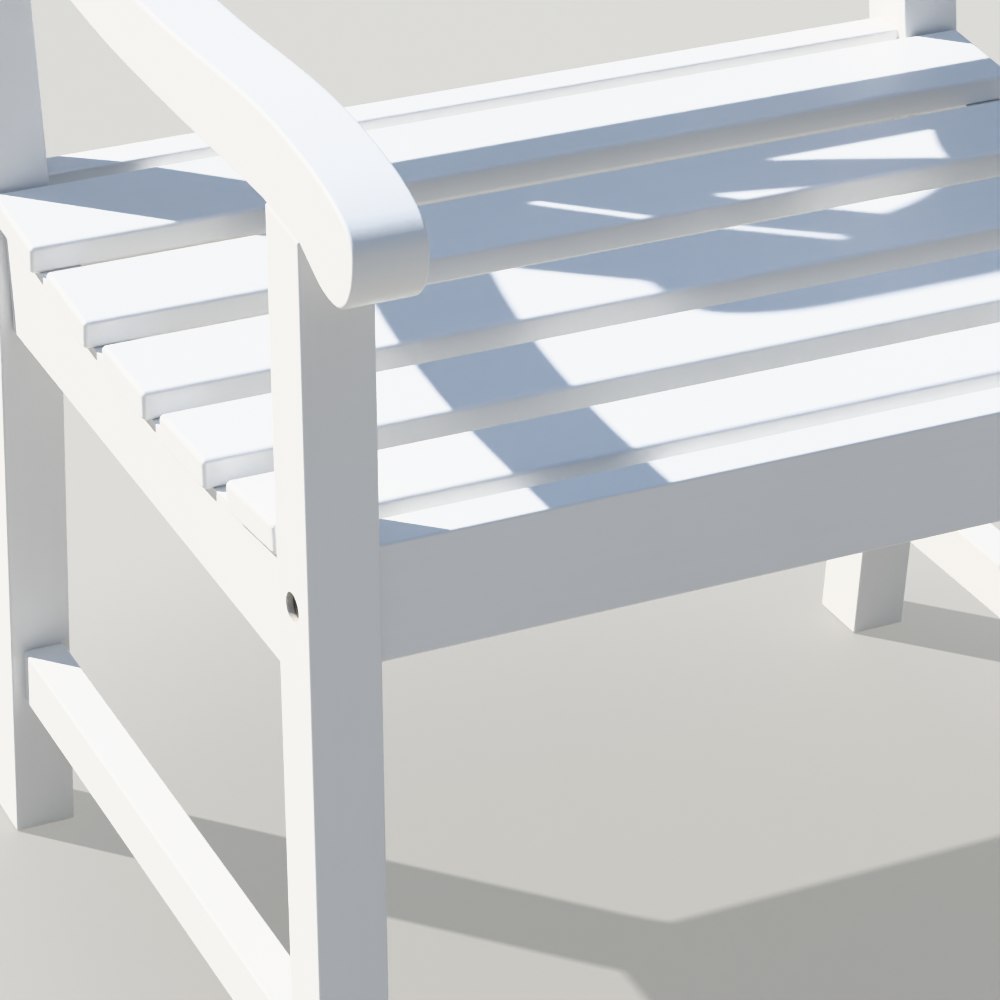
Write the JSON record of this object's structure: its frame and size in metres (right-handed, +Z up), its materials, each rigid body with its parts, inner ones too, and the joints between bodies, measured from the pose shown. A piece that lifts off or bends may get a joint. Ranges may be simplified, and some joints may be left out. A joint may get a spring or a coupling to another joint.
{
  "type": "garden armchair",
  "caption": "White painted wooden garden armchair with a dished slatted seat, curved armrests, side stretchers and a raked slatted back with a crossed centre panel.",
  "frame": {"origin": "on the floor, under the centre of the chair's overall box", "axes": "+Z up, -Y the way a sitter faces, +X to the right for a viewer who stands in front of the chair"},
  "size_m": [0.7322, 0.6251, 0.949],
  "materials": {
    "white_paint": "satin white paint over wood",
    "dowel_wood": "bare beech",
    "zinc_steel": "zinc plated"
  },
  "bodies": {
    "root": {"front_leg_left": "white_paint", "front_leg_right": "white_paint", "rear_leg_left": "white_paint", "rear_leg_right": "white_paint", "seat_slat_1": "white_paint", "seat_slat_2": "white_paint", "seat_slat_3": "white_paint", "seat_slat_4": "white_paint", "seat_slat_5": "white_paint", "side_rail_left": "white_paint", "side_rail_right": "white_paint", "front_apron": "white_paint", "rear_seat_rail": "white_paint", "side_stretcher_left": "white_paint", "side_stretcher_right": "white_paint", "armrest_left": "white_paint", "armrest_right": "white_paint", "back_bottom_rail": "white_paint", "back_top_rail": "white_paint", "back_slat_1": "white_paint", "back_slat_2": "white_paint", "back_slat_3": "white_paint", "back_slat_4": "white_paint", "cross_bar_front": "white_paint", "cross_bar_rear": "white_paint", "rail_dowels": "dowel_wood", "stretcher_dowels": "dowel_wood", "arm_dowels": "dowel_wood", "slat_dowels": "dowel_wood", "top_rail_dowels": "dowel_wood", "back_slat_dowels": "dowel_wood", "cross_bar_dowels": "dowel_wood", "frame_bolts": "zinc_steel", "barrel_nuts": "zinc_steel"}
  },
  "joints": []
}
